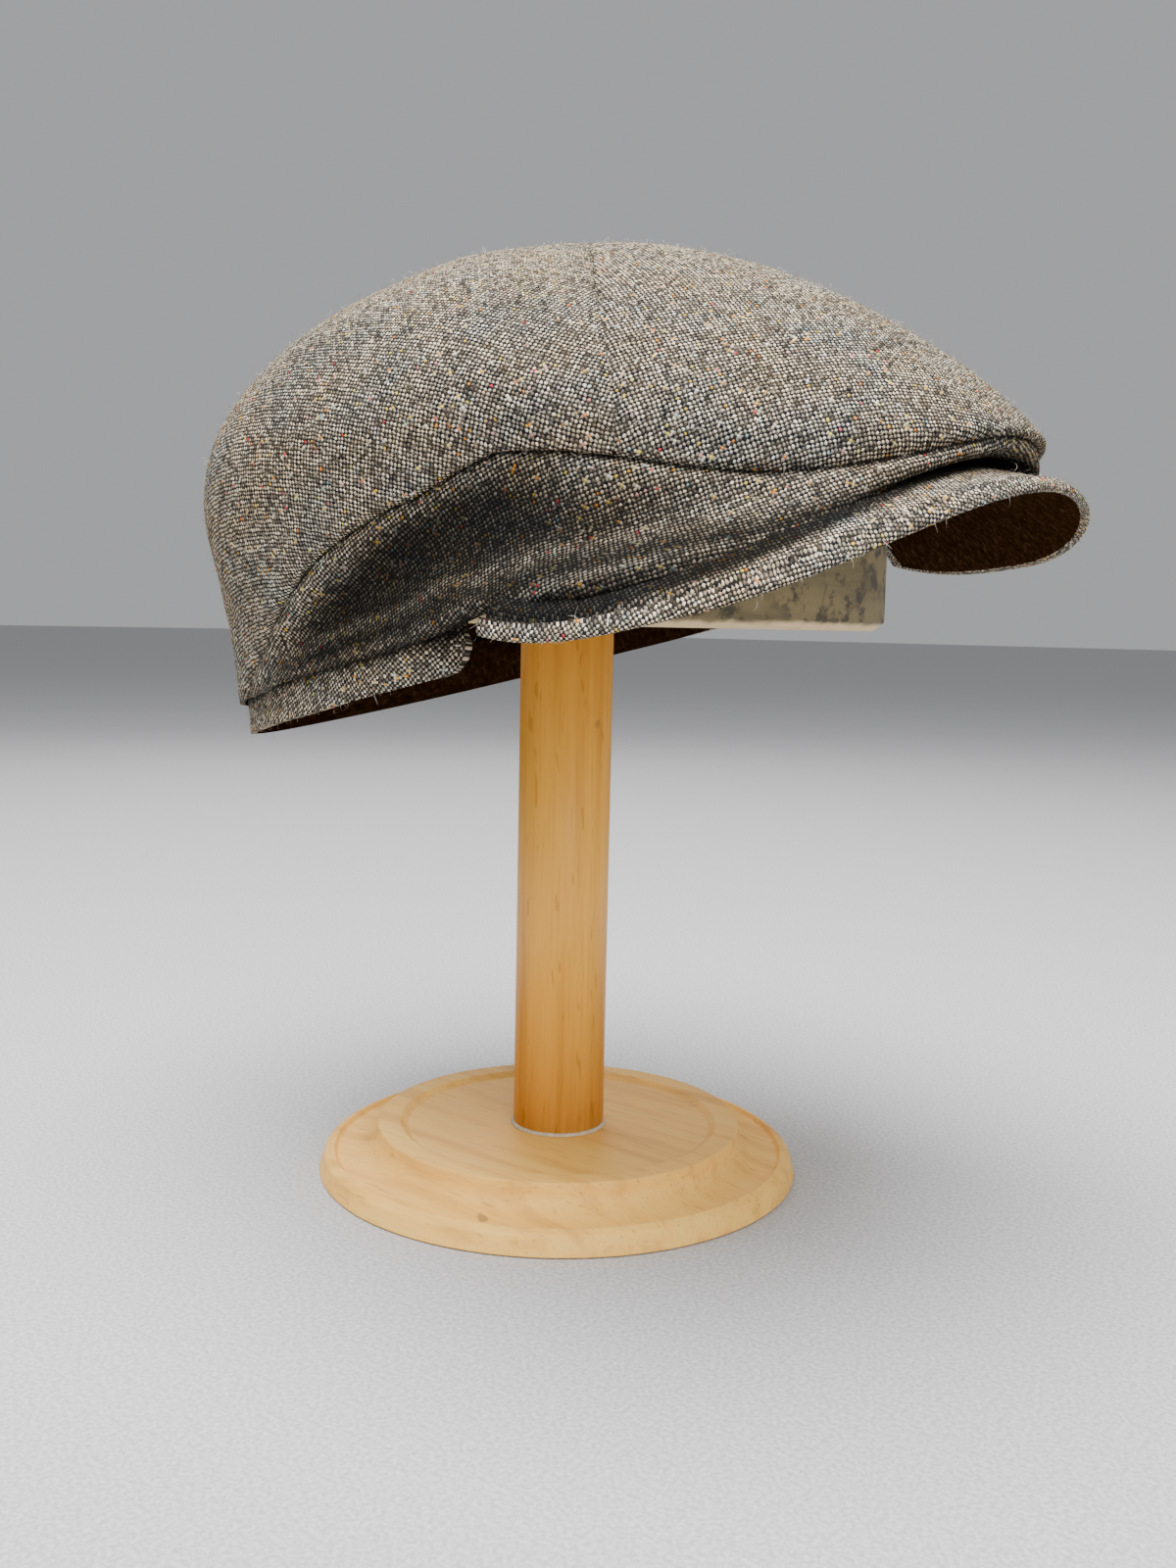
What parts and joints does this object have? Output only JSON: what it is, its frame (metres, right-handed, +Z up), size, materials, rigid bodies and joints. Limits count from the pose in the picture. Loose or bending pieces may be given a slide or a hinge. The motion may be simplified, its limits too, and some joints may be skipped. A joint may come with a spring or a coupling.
{
  "type": "tweed flat cap on a wooden hat stand",
  "caption": "A soft tweed flat cap with a low rounded crown, creased sides, a short arched peak and a narrow flap round the back, resting on an oval wooden block on a round post and turned foot.",
  "frame": {"origin": "centre of the stand's round underside", "axes": "+Z up along the post, +X towards the cap's front, +Y to the wearer's left; the cap is tipped back and a little to the right on the stand"},
  "size_m": [0.2432, 0.1932, 0.2604],
  "materials": {
    "tweed": "rough plain-weave wool, flecked brown and grey",
    "brown_lining": "soft brushed dark brown cloth",
    "beech": "plain turned beech, satin",
    "worn_wood": "old stained wood, matt"
  },
  "bodies": {
    "root": {"crown_front": "tweed", "crown_back": "tweed", "side_right": "tweed", "side_left": "tweed", "peak": "tweed", "peak_lining": "brown_lining", "ear_flap": "tweed", "flap_lining": "brown_lining", "stand_base": "beech", "stand_post": "beech", "stand_block": "worn_wood"}
  },
  "joints": []
}
